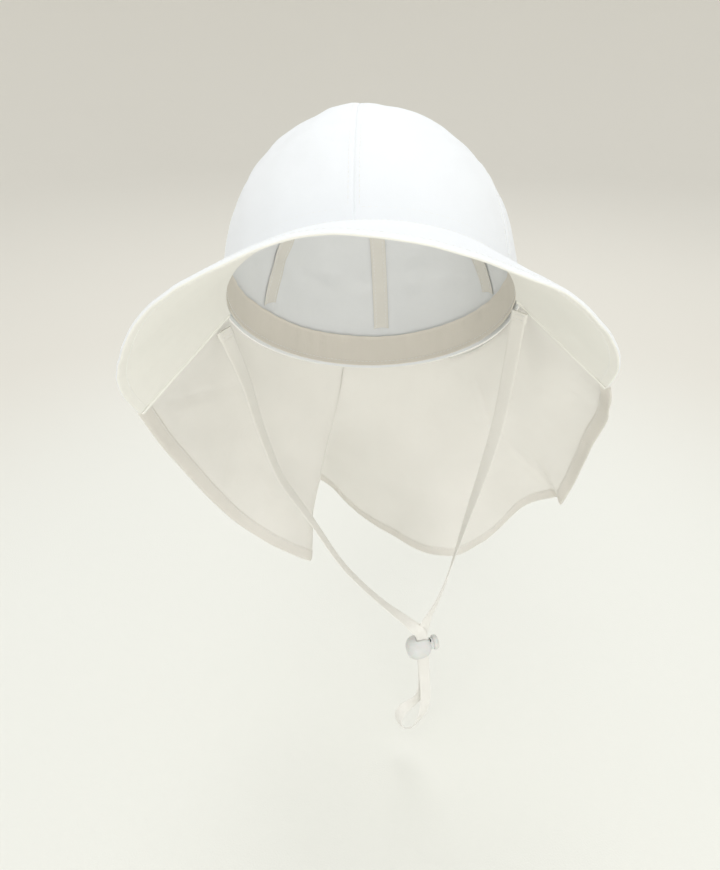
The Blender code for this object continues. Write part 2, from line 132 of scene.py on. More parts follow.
STRAP_ROUTE = (
    (-0.0805, -0.0105, -0.0130, 50, 0.0),
    (-0.0732, -0.0101, -0.0410, 68, 0.0),
    (-0.0677, -0.0100, -0.0734, 78, 0.0),
    (-0.0594, -0.0100, -0.1078, 82, -0.05),
    (-0.0504, -0.0100, -0.1274, 84, -0.10),
    (-0.0401, -0.0100, -0.1471, 85, -0.20),
    (-0.0226, -0.0102, -0.1830, 86, -0.30),
    (-0.0078, -0.0104, -0.2052, 86, -0.35),
    (0.0098, -0.0108, -0.2262, 82, -0.30),
    (0.0262, -0.0116, -0.2425, 62, -0.15),
    (0.0368, -0.0122, -0.2537, 26, 0.0),
    (0.0400, -0.0111, -0.2635, 18, 0.0),
    (0.0412, -0.0107, -0.2777, 18, 0.0),
    (0.0423, -0.0103, -0.2918, 18, 0.0),
    (0.0435, -0.0099, -0.3059, 18, 0.0),
    (0.0441, -0.0097, -0.3128, 18, 0.0),
    (0.0458, -0.0105, -0.3324, 20, 0.0),
    (0.0459, -0.0120, -0.3499, 24, -0.05),
    (0.0426, -0.0132, -0.3658, 44, -0.45),
    (0.0366, -0.0136, -0.3784, 78, -1.30),
    (0.0289, -0.0126, -0.3822, 96, -1.50),
    (0.0240, -0.0108, -0.3733, 130, -0.80),
    (0.0270, -0.0088, -0.3628, 160, -0.15),
    (0.0336, -0.0072, -0.3546, 178, -0.05),
    (0.0402, -0.0066, -0.3456, 190, 0.0),
    (0.0434, -0.0070, -0.3322, 198, 0.0),
    (0.0430, -0.0083, -0.3059, 198, 0.0),
    (0.0418, -0.0087, -0.2918, 198, 0.0),
    (0.0407, -0.0091, -0.2777, 198, 0.0),
    (0.0395, -0.0095, -0.2635, 198, 0.0),
    (0.0411, -0.0087, -0.2532, 202, 0.0),
    (0.0430, -0.0092, -0.2420, 214, 0.0),
    (0.0497, -0.0095, -0.2205, 236, 0.0),
    (0.0552, -0.0098, -0.1942, 252, 0.0),
    (0.0646, -0.0100, -0.1375, 280, 0.0),
    (0.0714, -0.0100, -0.1000, 298, 0.0),
    (0.0768, -0.0100, -0.0591, 310, 0.0),
    (0.0795, -0.0105, 0.0005, 318, 0.0),
)
LOCK_TURN = math.radians(18.0)
LOCK_TILT = math.radians(5.0)
LOCK_PLACE = Vector((0.0405, -0.0100, -0.2730))
BALL_RADIUS = 0.0093
BALL_BACK = -0.0130
BALL_FRONT = 0.0067
BALL_SQUARENESS = 2.6
BALL_RINGS = 44
BORE_RADIUS = 0.0048
BORE_BACK = -0.0110
SLOT_HALF_LENGTH = 0.0049
SLOT_HALF_HEIGHT = 0.0020
PLUNGER_RADIUS = 0.0045
PLUNGER_BACK = -0.0062
PRESS_TRAVEL = 0.0022
CAP_BACK = 0.0087
CAP_FRONT = 0.0128
CAP_RADIUS = 0.0058
CAP_ROUND = 0.0024
SPRING_WIRE = 0.0002
SPRING_RADIUS = 0.0030
SPRING_TURNS = 3.0
BORE_LIP = 0.0007
SLOT_CORNER = 0.0008
CHAMFER = 0.0004
FILLET = 0.0003
DISH_DEPTH = 0.0004

# ---- sewing ----
SMOOTH_CLOTH = 55.0         # degrees, edges sharper than this stay sharp
SMOOTH_THREAD = 70.0
SMOOTH_PLASTIC = 38.0
SEWN_IN = 0.0012            # how far brim and flap reach in under the crown's edge
SEAM_DIP = 0.00025
SEAM_RAISE = 0.00012
SEAM_ALLOWANCE = 0.0050
TOPSTITCH = 0.0026          # from the seam
EDGE_STITCH = 0.0050        # from the brim's edge
STITCH_PITCH = 0.0027
STITCH_LENGTH = 0.0020
STITCH_DIP = 0.00010
FOOT_STITCH = 0.0032        # the row of stitches round the crown's foot
FOOT_DIP = 0.00025
TAB_STITCHES = (0.0016, 0.0040)
TAB_STITCH_REACH = 0.0042
TAB_STITCH_PITCH = 0.0022
THREAD_RADIUS = 0.00019
EDGE_TURN = math.radians(105.0)      # how far the upper cloth goes round the brim's edge
EDGE_BEAD = 0.00012
SIDE_SEAM_HALF_WIDTH = 0.0012
SIDE_SEAM_HALF_HEIGHT = 0.0007
TAPE_DOME = 0.00012
HEM_WIDTH = 0.0080
HEM_THICK = 0.0013
FLAP_THICK = 0.0005
FLAP_INSET = 0.0002

# ---- heights of the soft folds ----
CROWN_LAZY = 0.0022
CROWN_LEVEL = 0.0013
CROWN_SMALL = 0.0005
PANEL_BELLY = 0.0009
PUCKER = 0.00010
BRIM_LAZY = 0.0016
BRIM_FINE = 0.0003
FLAP_LONG = 0.0030
FLAP_CROSS = 0.0016
FLAP_SMALL = 0.0007
FLAP_GATHERS = 0.0005
SOFTEN_STEPS = 260
SOFTEN_FROM = 8.0           # counted in ribs
SOFTEN_TO = 10.0
# Folds pressed into the flap: points along the fold, its height and its half width.
FLAP_CREASES = (
    (((-0.1178, -0.0425, -0.0379), (-0.1100, -0.0213, -0.0477), (-0.0968, -0.0004, -0.0542),
      (-0.0832, 0.0170, -0.0588)), 0.0012, 0.0030),
    (((0.0698, 0.0462, -0.0701), (0.0825, 0.0568, -0.1036), (0.1117, 0.0691, -0.1458),
      (0.1443, 0.0728, -0.1858)), 0.0016, 0.0042),
    (((0.1300, -0.0240, -0.0350), (0.1150, -0.0120, -0.0320)), 0.0009, 0.0016),
    (((0.1325, -0.0180, -0.0430), (0.1170, -0.0060, -0.0400)), 0.0009, 0.0016),
    (((0.1345, -0.0120, -0.0510), (0.1190, 0.0010, -0.0480)), 0.0009, 0.0016),
)

HAT = np.array(Matrix.Rotation(-LEAN, 3, "Y") @ Matrix.Rotation(-TIP_BACK, 3, "X"))
LOCK = (Matrix.Translation(LOCK_PLACE) @ Matrix.Rotation(LOCK_TURN, 4, "Z")
        @ Matrix.Rotation(-LOCK_TILT, 4, "Y"))


# ---- camera, floor and light ----
CAMERA_PLACE = (0.0150, -0.3269, 0.1342)
CAMERA_DOWN = math.radians(33.5)
CAMERA_HEADING = math.radians(2.7)
CAMERA_LENS = 25.66
CAMERA_SHIFT = -0.0126
FLOOR_DROP = 0.020          # the floor lies this far under the strap's loop
FLOOR_FLAT = 2.6            # the floor is flat out to here, then curves up as a backdrop
FLOOR_RISE = 1.5
PAINTED_SHADE_FROM = 0.55           # painted shade: the pale floor is painted a little darker from here outwards, standing in for the backdrop's fall-off of light
PAINTED_SHADE_TO = 1.10


def make_camera():
    camera = bpy.data.objects.new("camera", bpy.data.cameras.new("camera"))
    camera.data.lens = CAMERA_LENS
    camera.data.shift_x = CAMERA_SHIFT
    camera.data.clip_start = 0.01
    camera.location = CAMERA_PLACE
    camera.rotation_euler = (math.pi / 2 - CAMERA_DOWN, 0.0, CAMERA_HEADING)
    bpy.context.scene.collection.objects.link(camera)
    bpy.context.scene.camera = camera


def make_light(name, place, target, size, power, colour):
    light = bpy.data.objects.new(name, bpy.data.lights.new(name, "AREA"))
    light.data.shape = "DISK"
    light.data.size = size
    light.data.energy = power
    light.data.color = colour
    light.location = place
    aim = Vector(target) - Vector(place)
    light.rotation_euler = aim.to_track_quat("-Z", "Y").to_euler()
    light.visible_camera = False
    bpy.context.scene.collection.objects.link(light)


def make_stage():
    level = CAD_BOX[0][2] - FLOOR_DROP
    profile = [(0.0, 0.0), (0.5, 0.0), (1.5, 0.0), (FLOOR_FLAT, 0.0)]
    for step in range(1, 13):
        angle = math.pi / 2 * step / 12
        profile.append((FLOOR_FLAT + FLOOR_RISE * math.sin(angle), FLOOR_RISE * (1.0 - math.cos(angle))))
    sides = 96
    points = [(x, y, level + height) for radius, height in profile for x, y in oval(radius, radius, sides)]
    mesh = bpy.data.meshes.new("floor")
    mesh.from_pydata(points, [], band_faces(len(profile), sides))
    mesh.materials.append(floor_material())
    mesh.shade_smooth()
    floor = bpy.data.objects.new("floor", mesh)
    bpy.context.scene.collection.objects.link(floor)
    world = bpy.data.worlds.new("studio")
    world.use_nodes = True
    background = world.node_tree.nodes["Background"]
    background.inputs["Color"].default_value = (0.95, 0.96, 0.955, 1.0)
    background.inputs["Strength"].default_value = 1.02
    bpy.context.scene.world = world
    bpy.context.scene.view_settings.view_transform = "Standard"
    make_light("key", (-0.25, -1.0, 1.6), (0.0, 0.0, -0.05), 1.2, 4.5, (1.0, 1.0, 1.0))
    make_light("fill", (1.1, -0.6, 0.8), (0.0, 0.0, -0.1), 1.0, 1.0, (1.0, 1.0, 1.0))
    make_light("front", (0.25, -1.25, 0.02), (0.0, 0.0, -0.15), 0.6, 3.6, (1.0, 0.985, 0.965))
    make_light("back", (0.1, 1.3, 1.1), (0.0, 0.0, 0.0), 1.0, 5.0, (1.0, 1.0, 0.99))


# ---- materials ----
class Nodes:
    """Short calls for a material's node tree."""

    def __init__(self, name):
        self.material = bpy.data.materials.new(name)
        self.material.use_nodes = True
        self.tree = self.material.node_tree
        self.shader = self.tree.nodes["Principled BSDF"]
        self.output = self.tree.nodes["Material Output"]

    def link(self, source, target):
        self.tree.links.new(source, target)

    def put(self, socket, value):
        if isinstance(value, bpy.types.NodeSocket):
            self.link(value, socket)
        else:
            socket.default_value = value

    def shade(self, values):
        for name, value in values.items():
            self.put(self.shader.inputs[name], value)

    def math(self, operation, a, b=0.0):
        node = self.tree.nodes.new("ShaderNodeMath")
        node.operation = operation
        self.put(node.inputs[0], a)
        self.put(node.inputs[1], b)
        return node.outputs[0]

    def noise(self, vector, scale, detail=2.0):
        node = self.tree.nodes.new("ShaderNodeTexNoise")
        node.inputs["Scale"].default_value = scale
        node.inputs["Detail"].default_value = detail
        self.link(vector, node.inputs["Vector"])
        return node.outputs["Fac"]

    def place(self):
        return self.tree.nodes.new("ShaderNodeTexCoord").outputs["Object"]

    def cloth_place(self):
        """Across and along the cloth, in metres, from the mesh's own attribute."""
        node = self.tree.nodes.new("ShaderNodeAttribute")
        node.attribute_name = "cloth"
        split = self.tree.nodes.new("ShaderNodeSeparateXYZ")
        self.link(node.outputs["Vector"], split.inputs[0])
        return split.outputs[0], split.outputs[1]

    def ramp(self, value, low, high):
        node = self.tree.nodes.new("ShaderNodeMapRange")
        node.inputs["To Min"].default_value = low
        node.inputs["To Max"].default_value = high
        self.link(value, node.inputs["Value"])
        return node.outputs[0]

    def colours(self, factor, first, second):
        node = self.tree.nodes.new("ShaderNodeMix")
        node.data_type = "RGBA"
        self.link(factor, node.inputs["Factor"])
        for name, colour in (("A", first), ("B", second)):
            self.put(node.inputs[name], (*colour, 1.0) if isinstance(colour, tuple) else colour)
        return node.outputs["Result"]

    def bump(self, height, distance, strength=1.0, normal=None):
        node = self.tree.nodes.new("ShaderNodeBump")
        node.inputs["Distance"].default_value = distance
        node.inputs["Strength"].default_value = strength
        self.link(height, node.inputs["Height"])
        if normal:
            self.link(normal, node.inputs["Normal"])
        return node.outputs[0]


def cloth_material(name, colour, thread, relief, through=0.0, mottling=0.05, ribs=False):
    """Woven cotton: threads over and under each other, slubs, soft creases and a faint sheen."""
    n = Nodes(name)
    place = n.place()
    across, along = n.cloth_place()
    warp = n.math("SINE", n.math("MULTIPLY", across, 2.0 * math.pi / thread))
    weft = n.math("SINE", n.math("MULTIPLY", along, 2.0 * math.pi / (thread * (0.55 if ribs else 1.0))))
    weave = n.math("MULTIPLY", warp, weft)
    slub = n.noise(place, 900.0, 2.0)
    blotch = n.noise(place, 38.0, 3.0)
    height = n.math("ADD", n.math("MULTIPLY", weave, 0.5), n.math("MULTIPLY", slub, 1.2))
    dark = tuple(channel * (1.0 - mottling) for channel in colour)
    shade = n.math("ADD", n.math("MULTIPLY", blotch, 0.8), n.math("MULTIPLY", slub, 0.25))
    tint = n.colours(shade, dark, colour)
    soft = n.bump(n.noise(place, 150.0, 3.0), 0.0005, 0.5)
    n.shade({"Base Color": tint, "Roughness": n.ramp(slub, 0.80, 0.95),
             "Normal": n.bump(height, relief, 0.8, soft), "Specular IOR Level": 0.25,
             "Sheen Weight": 0.12, "Sheen Roughness": 0.6})
    if through:
        behind = n.tree.nodes.new("ShaderNodeBsdfTranslucent")
        n.link(tint, behind.inputs["Color"])
        mix = n.tree.nodes.new("ShaderNodeMixShader")
        mix.inputs[0].default_value = through
        n.link(n.shader.outputs[0], mix.inputs[1])
        n.link(behind.outputs[0], mix.inputs[2])
        n.link(mix.outputs[0], n.output.inputs["Surface"])
    return n.material


def thread_material():
    n = Nodes("sewing_thread")
    place = n.place()
    tint = n.colours(n.noise(place, 600.0), (0.80, 0.80, 0.78), (0.93, 0.93, 0.92))
    n.shade({"Base Color": tint, "Normal": n.bump(n.noise(place, 3000.0), 0.00005), "Roughness": 0.6})
    return n.material


def plastic_material():
    """Frosted, slightly see-through moulded plastic."""
    n = Nodes("frosted_plastic")
    place = n.place()
    grain = n.noise(place, 2600.0, 1.0)
    cloud = n.noise(place, 160.0, 2.0)
    n.shade({"Base Color": n.colours(cloud, (0.64, 0.645, 0.63), (0.71, 0.715, 0.70)),
             "Roughness": n.ramp(cloud, 0.36, 0.52), "Normal": n.bump(grain, 0.00004, 0.6),
             "Subsurface Weight": 0.12, "Subsurface Scale": 0.0015})
    return n.material


def steel_material():
    n = Nodes("spring_wire")
    place = n.place()
    tint = n.colours(n.noise(place, 300.0), (0.52, 0.52, 0.53), (0.66, 0.66, 0.67))
    n.shade({"Base Color": tint, "Roughness": n.ramp(n.noise(place, 500.0), 0.25, 0.42), "Metallic": 1.0})
    return n.material


def floor_material():
    n = Nodes("pale_floor")
    place = n.place()
    near = n.colours(n.noise(place, 2.0), (0.765, 0.765, 0.715), (0.78, 0.78, 0.73))
    # painted shade: the far floor's darker, warmer colour stands in for the backdrop lying in shade, not a
    # different cloth
    far_painted_shade = n.colours(n.noise(place, 2.0), (0.705, 0.68, 0.62), (0.715, 0.69, 0.63))
    length = n.tree.nodes.new("ShaderNodeVectorMath")
    length.operation = "LENGTH"
    n.link(place, length.inputs[0])
    reach = n.tree.nodes.new("ShaderNodeMapRange")
    reach.interpolation_type = "SMOOTHSTEP"
    reach.inputs["From Min"].default_value = PAINTED_SHADE_FROM
    reach.inputs["From Max"].default_value = PAINTED_SHADE_TO
    n.link(length.outputs["Value"], reach.inputs["Value"])
    n.shade({"Base Color": n.colours(reach.outputs[0], near, far_painted_shade), "Roughness": 0.95,
             "Normal": n.bump(n.noise(place, 700.0), 0.0003, 0.4)})
    return n.material


# ---- geometry helpers ----
def smooth_step(low, high, value):
    t = np.clip((value - low) / (high - low), 0.0, 1.0)
    return t * t * (3.0 - 2.0 * t)


def spline(points, where):
    """Smooth curves through the points, at places counted in points (Catmull-Rom)."""
    points = np.asarray(points, float)
    padded = np.vstack([2.0 * points[:1] - points[1:2], points, 2.0 * points[-1:] - points[-2:-1]])
    i = np.clip(where.astype(int), 0, len(points) - 2)
    t = (where - i)[:, None]
    p0, p1, p2, p3 = (padded[i + k] for k in range(4))
    return 0.5 * (2.0 * p1 + (p2 - p0) * t + (2.0 * p0 - 5.0 * p1 + 4.0 * p2 - p3) * t * t
                  + (3.0 * p1 - p0 - 3.0 * p2 + p3) * t ** 3)


def unit(vectors):
    return vectors / np.maximum(np.linalg.norm(vectors, axis=-1, keepdims=True), 1e-12)


def bumpy(points, size, seed):
    """Smooth noise from about -1 to 1 at each point, with features of the given size or sizes."""
    flat = (np.asarray(points) / np.asarray(size)).reshape(-1, 3)
    values = [noise.noise(Vector((x + seed, y - seed, z + 0.5 * seed))) for x, y, z in flat.tolist()]
    return np.array(values).reshape(np.shape(points)[:-1])


def travelled(points, axis=0):
    """The distance run along lines of points, at each point."""
    runs = np.cumsum(np.linalg.norm(np.diff(points, axis=axis), axis=-1), axis=axis)
    return np.concatenate([np.zeros_like(runs.take([0], axis)), runs], axis=axis)


def resample(line, pitch):
    """Points along a line, evenly spaced at about the given pitch."""
    length = travelled(line)
    count = max(int(length[-1] / pitch), 1)
    at = np.linspace(0.0, length[-1], count + 1)
    return np.stack([np.interp(at, length, line[:, k]) for k in range(3)], axis=1)


def normals_of(grid, closed=False):
    along = np.roll(grid, -1, 0) - np.roll(grid, 1, 0) if closed else np.gradient(grid, axis=0)
    return unit(np.cross(along, np.gradient(grid, axis=1)))


def cloth_places(grid):
    """Distances across from the middle column and along the middle column."""
    middle = grid.shape[0] // 2
    across = travelled(grid)
    across = across - across[middle:middle + 1]
    along = np.broadcast_to(travelled(grid[middle]), across.shape)
    return np.stack([across, along, np.zeros_like(across)], axis=2)


def band_faces(rings, sides, base=0):
    """The quads between rings of points that follow one another."""
    faces = []
    for low in range(base, base + (rings - 1) * sides, sides):
        for k in range(sides):
            n = (k + 1) % sides
            faces.append((low + k, low + n, low + sides + n, low + sides + k))
    return faces


def face_outwards(mesh):
    work = bmesh.new()
    work.from_mesh(mesh)
    bmesh.ops.recalc_face_normals(work, faces=work.faces)
    work.to_mesh(mesh)
    work.free()


def add_solid(name, points, faces):
    mesh = bpy.data.meshes.new(name)
    mesh.from_pydata([tuple(point) for point in points], [], [tuple(face) for face in faces])
    face_outwards(mesh)
    piece = bpy.data.objects.new(name, mesh)
    bpy.context.scene.collection.objects.link(piece)
    return piece


def finish_piece(piece, material, body, replaces, smooth):
    """Gives a piece its material, smooth faces and body, and hides the nodes it replaces."""
    mesh = piece.data
    mesh.materials.clear()
    mesh.materials.append(material)
    mesh.shade_smooth()
    mesh.set_sharp_from_angle(angle=math.radians(smooth))
    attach(piece, body)
    if replaces:
        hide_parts(*replaces)
    return piece


def add_piece(name, points, faces, material, body, replaces=(), cloth=None, smooth=SMOOTH_CLOTH):
    """A named piece that rides a body, with its places on the cloth as the attribute cloth."""
    piece = add_solid(name, points, faces)
    if cloth is not None:
        places = piece.data.attributes.new("cloth", "FLOAT_VECTOR", "POINT")
        places.data.foreach_set("vector", np.asarray(cloth, np.float32).ravel())
    return finish_piece(piece, material, body, replaces, smooth)


def add_cloth(name, outer, thickness, material, replaces=(), closed=False, inward=None):
    """A closed sheet behind the outer grid, with a rounded edge all round."""
    normals = normals_of(outer, closed) if inward is None else inward
    inner = outer + normals * thickness
    columns, rows = outer.shape[:2]
    index = np.arange(columns * rows).reshape(columns, rows)
    if closed:
        index = np.vstack([index, index[:1]])
    under = index + columns * rows
    quads = [np.stack([index[:-1, :-1], index[1:, :-1], index[1:, 1:], index[:-1, 1:]], -1).reshape(-1, 4),
             np.stack([under[:-1, :-1], under[:-1, 1:], under[1:, 1:], under[1:, :-1]], -1).reshape(-1, 4)]
    cloth = cloth_places(outer)
    points = [outer.reshape(-1, 3), inner.reshape(-1, 3)]
    places = [cloth.reshape(-1, 3), cloth.reshape(-1, 3)]
    if closed:
        rims = [index[:, 0], index[:, -1]]
    else:
        rims = [np.concatenate([index[:-1, 0], index[-1, :-1], index[:0:-1, -1], index[0, :0:-1]])]
        rims[0] = np.append(rims[0], rims[0][0])
    count = 2 * columns * rows
    flat_outer, flat_inner, flat_cloth = points[0], points[1], places[0]
    step_in = np.zeros_like(outer)
    step_in[:, 0] = outer[:, 0] - outer[:, 1]
    step_in[:, -1] = outer[:, -1] - outer[:, -2]
    if not closed:
        step_in[0, 1:-1] = outer[0, 1:-1] - outer[1, 1:-1]
        step_in[-1, 1:-1] = outer[-1, 1:-1] - outer[-2, 1:-1]
    out = unit(step_in).reshape(-1, 3)
    thick = np.broadcast_to(np.asarray(thickness, float), outer.shape[:2] + (1,)).reshape(-1, 1)
    for rim in rims:
        ring = rim[:-1]
        middle = 0.5 * (flat_outer[ring] + flat_inner[ring]) + out[ring] * thick[ring] * 0.35
        points.append(middle)
        places.append(flat_cloth[ring])
        own = count + np.append(np.arange(len(ring)), 0)
        count += len(ring)
        quads.append(np.stack([rim[:-1], rim[1:], own[1:], own[:-1]], -1))
        quads.append(np.stack([own[:-1], own[1:], rim[1:] + columns * rows, rim[:-1] + columns * rows], -1))
    return add_piece(name, np.vstack(points), np.vstack(quads), material, "hat", replaces,
                     np.vstack(places))


def oval(half_width, half_height, sides):
    angles = [2.0 * math.pi * k / sides for k in range(sides)]
    return [(half_width * math.cos(a), half_height * math.sin(a)) for a in angles]


def tube_faces(count, sides):
    """Faces of a closed bar of count rings with their sides' points in order."""
    index = np.arange(count * sides).reshape(count, sides)
    index = np.hstack([index, index[:, :1]])
    quads = np.stack([index[:-1, :-1], index[:-1, 1:], index[1:, 1:], index[1:, :-1]], -1).reshape(-1, 4)
    return [tuple(quad) for quad in quads] + [tuple(index[0, :-1]), tuple(index[-1, :-1])]


def sweep(centres, frames, outline, name, material, body, replaces=(), cloth=True):
    """A closed bar: the outline (u, v) carried along the centres on frames of (u, v) directions."""
    outline = np.asarray(outline)
    sides = len(outline)
    u, v = frames
    rings = centres[:, None] + u[:, None] * outline[None, :, :1] + v[:, None] * outline[None, :, 1:]
    count = len(centres)
    places = np.zeros((count, sides, 3))
    places[:, :, 0] = outline[None, :, 0]
    places[:, :, 1] = travelled(centres)[:, None]
    return add_piece(name, rings.reshape(-1, 3), tube_faces(count, sides), material, body, replaces,
                     places.reshape(-1, 3) if cloth else None)


# ---- surfaces of the hat ----
def crown(turn, climb, inset=0.0):
    radius = np.cos(climb) ** CROWN_WAIST
    height = np.sin(climb) ** CROWN_ROUNDING
    return np.stack([
        (CROWN_HALF_WIDTH - inset) * radius * np.sin(turn),
        -(CROWN_HALF_DEPTH - inset) * radius * np.cos(turn),
        (CROWN_HEIGHT - inset) * height,
    ], axis=-1)


def crown_radius(climb):
    return 0.5 * (CROWN_HALF_WIDTH + CROWN_HALF_DEPTH) * np.cos(climb) ** CROWN_WAIST


def climb_to(height):
    return math.asin((height / CROWN_HEIGHT) ** (1.0 / CROWN_ROUNDING))


def crown_over(x, y, inset):
    """The turn and climb of the crown's point, inset inwards, that lies above x, y."""
    across = x / (CROWN_HALF_WIDTH - inset)
    along = y / (CROWN_HALF_DEPTH - inset)
    climb = np.arccos(np.minimum(np.hypot(across, along), 1.0) ** (1.0 / CROWN_WAIST))
    return np.arctan2(across, -along), climb


def crown_inside(turn, climb, inset):
    """Points inside the folded crown, at a distance from its outer surface, in the row frame."""
    return (crown(turn, climb, inset) @ HAT.T
            + crown_outward(turn, climb) * crown_folds(turn, climb)[..., None])


def crown_folds(turn, climb):
    """How far the soft crown stands out or sinks in, in metres."""
    where = np.stack([np.sin(turn), np.cos(turn), climb], axis=-1)
    lazy = bumpy(where, (0.55, 0.55, 0.45), 3.7) * CROWN_LAZY
    level = bumpy(where, (0.42, 0.42, 0.11), 9.2) * CROWN_LEVEL
    level = level * smooth_step(0.25, 0.5, climb) * smooth_step(1.15, 0.8, climb)
    small = bumpy(where, (0.16, 0.16, 0.12), 21.0) * CROWN_SMALL
    return (lazy + level + small) * smooth_step(0.0, 0.22, climb)


def panel_relief(turn, climb, across):
    """The sewn relief of a panel: a groove at the seams, raised allowances and small puckers."""
    from_seam = (0.5 - np.abs(across)) * PANEL_STEP * crown_radius(climb)
    groove = -SEAM_DIP * np.exp(-(from_seam / 0.0006) ** 2)
    raised = SEAM_RAISE * smooth_step(SEAM_ALLOWANCE + 0.0008, SEAM_ALLOWANCE - 0.0008, from_seam)
    stitched = -STITCH_DIP * np.exp(-((from_seam - TOPSTITCH) / 0.0006) ** 2)
    along = CROWN_HEIGHT * climb * 1.2
    wave = np.sin(along * 2.0 * math.pi / 0.0058 + 2.0 * np.sin(along * 310.0) + 5.0 * np.sign(across))
    pucker = PUCKER * wave * np.exp(-((from_seam - 0.0035) / 0.0030) ** 2)
    belly = PANEL_BELLY * (1.0 - (2.0 * across) ** 2) * np.sin(2.0 * np.clip(climb, 0.0, math.pi / 2)) ** 2
    foot = -FOOT_DIP * np.exp(-((CROWN_HEIGHT * climb - FOOT_STITCH) / 0.0009) ** 2)
    return groove + raised + stitched + pucker + belly + foot


def crown_outward(turn, climb):
    """The plain crown's outward direction, the same for two panels that meet at a seam."""
    step = 0.002
    along = crown(turn + step, climb) - crown(turn - step, climb)
    safe = np.clip(climb, step, CROWN_TOP - step)
    up = crown(turn, safe + step) - crown(turn, safe - step)
    return unit(np.cross(along, up)) @ HAT.T


def crown_surface(turn, climb, relief):
    """Points of the finished crown in the row frame: the crown with its folds and a relief."""
    lift = crown_folds(turn, climb) + relief
    return crown(turn, climb) @ HAT.T + crown_outward(turn, climb) * lift[..., None]


def panel_grid(k, columns, rows):
    across = np.linspace(-0.5, 0.5, columns)
    edge = smooth_step(0.0, 0.5, np.abs(across) * 2.0)
    across = np.sign(across) * (np.abs(across) + 0.03 * np.sin(2.0 * math.pi * np.abs(across)) * edge)
    climb = CROWN_TOP * np.linspace(0.0, 1.0, rows)
    across, climb = np.meshgrid(across, climb, indexing="ij")
    turn = PANEL_STEP * (k + 0.5) + PANEL_STEP * across
    return crown_surface(turn, climb, panel_relief(turn, climb, across)), crown_outward(turn, climb)


def make_crown():
    for k, side in enumerate(PANEL_NAMES):
        grid, outward = panel_grid(k, 61, 76)
        add_cloth("panel_" + side, grid, CLOTH * 0.85, CROWN_COTTON,
                  ["crown_panel_" + side], inward=-outward)


def crown_stitch_lines():
    """Topstitching beside the six seams and round the crown's foot."""
    lines = []
    for k in range(len(PANEL_NAMES)):
        for side in (-1.0, 1.0):
            climb = np.linspace(0.035, math.radians(80.0), 160)
            radius = crown_radius(climb)
            turn = PANEL_STEP * k + side * TOPSTITCH / radius
            across = side * (TOPSTITCH / radius / PANEL_STEP - 0.5)
            relief = panel_relief(turn, climb, across) + THREAD_RADIUS * 0.3
            lines.append(crown_surface(turn, climb, relief))
    turn = np.linspace(0.0, 2.0 * math.pi, 400)
    climb = np.full_like(turn, FOOT_STITCH / CROWN_HEIGHT)
    across = np.mod(turn / PANEL_STEP, 1.0) - 0.5
    lines.append(crown_surface(turn, climb, panel_relief(turn, climb, across) + THREAD_RADIUS * 0.3))
    return lines


def make_sweatband():
    top = climb_to(SWEATBAND_HEIGHT)
    foot = climb_to(SWEATBAND_FOOT)
    turn = np.linspace(0.0, 2.0 * math.pi, 361)[:-1]
    climb = foot + (top - foot) * np.linspace(0.0, 1.0, 22)
    turn, climb = np.meshgrid(turn, climb, indexing="ij")
    share = (climb - foot) / (top - foot)
    inset = CLOTH + LAYER_GAP
    wave = 0.00022 * np.sin(turn * 43.0 + 2.0 * np.sin(turn * 5.0)) * (0.4 + 0.6 * share)
    flat = unit(crown(turn, climb) * np.array([1.0, 1.0, 0.0])) @ HAT.T
    roll = 0.00035 * (np.exp(-(share / 0.06) ** 2) + np.exp(-((1.0 - share) / 0.06) ** 2))
    grid = crown_inside(turn, climb, inset) - flat * (0.00022 + wave + roll)[..., None]
    add_cloth("sweatband_tape", grid, LINING, SWEATBAND_COTTON, ["sweatband"], closed=True,
              inward=-flat)
    line = crown_inside(turn[:, 2], climb[:, 2], inset + LINING + 0.0006)
    return [np.vstack([line, line[:1]])]


def make_seam_tapes():
    """Three bias tapes over the crown's seams inside, each slightly domed."""
    lines = []
    for k in range(len(PANEL_NAMES) // 2):
        turn = PANEL_STEP * k
        along = np.array([math.sin(turn), -math.cos(turn), 0.0])
        across = np.array([math.cos(turn), math.sin(turn), 0.0])
        reach = 1.0 / math.hypot(along[0] / CROWN_HALF_WIDTH, along[1] / CROWN_HALF_DEPTH)
        foot = climb_to(TAPE_FOOT)
        climb = np.linspace(foot, math.pi - foot, 121)
        side = np.linspace(-0.5, 0.5, 13)
        climb, side = np.meshgrid(climb, side, indexing="ij")
        radius = np.sign(np.cos(climb)) * np.abs(np.cos(climb)) ** CROWN_WAIST
        crossing = 1.0 - smooth_step(TAPE_CROSSING, TAPE_CROSSING_END, np.abs(reach * radius))
        inset = CLOTH + TAPE_GAP + k * (LINING + TAPE_GAP) * crossing
        inset = inset + TAPE_DOME * (1.0 - (2.0 * side) ** 2)
        place = along * ((reach - inset) * radius)[..., None] + across * (TAPE_WIDTH * side)[..., None]
        turns, climbs = crown_over(place[..., 0], place[..., 1], inset)
        climbs = np.minimum(climbs, CROWN_TOP)
        grid = crown_inside(turns, climbs, inset)
        inward = -crown_outward(turns, climbs)
        add_cloth(f"bias_tape_{k + 1}", grid, LINING * 0.9, TAPE_COTTON, [f"seam_tape_{k + 1}"],
                  inward=inward)
        for column in (2, 10):
            lines.append(grid[:, column] + inward[:, column] * (LINING * 0.9 + THREAD_RADIUS * 0.3))
    return lines


def brim_drop(turn):
    sag = 1.0 - smooth_step(0.0, BRIM_SAG_REACH, np.abs(turn - BRIM_SAG_AT))
    return (BRIM_DROP + BRIM_DROP_SIDE * np.sin(turn) ** 2 + BRIM_DROP_CORNER * np.sin(2.0 * turn) ** 2
            + BRIM_SAG * sag)


def brim_width(turn):
    flare = smooth_step(BRIM_FLARE_FROM, BRIM_END, -turn)
    return (BRIM_WIDTH + BRIM_WIDTH_SIDE * np.sin(turn) ** 2 + BRIM_WIDTH_CORNER * np.sin(2.0 * turn) ** 2
            + BRIM_LEFT_FLARE * flare)


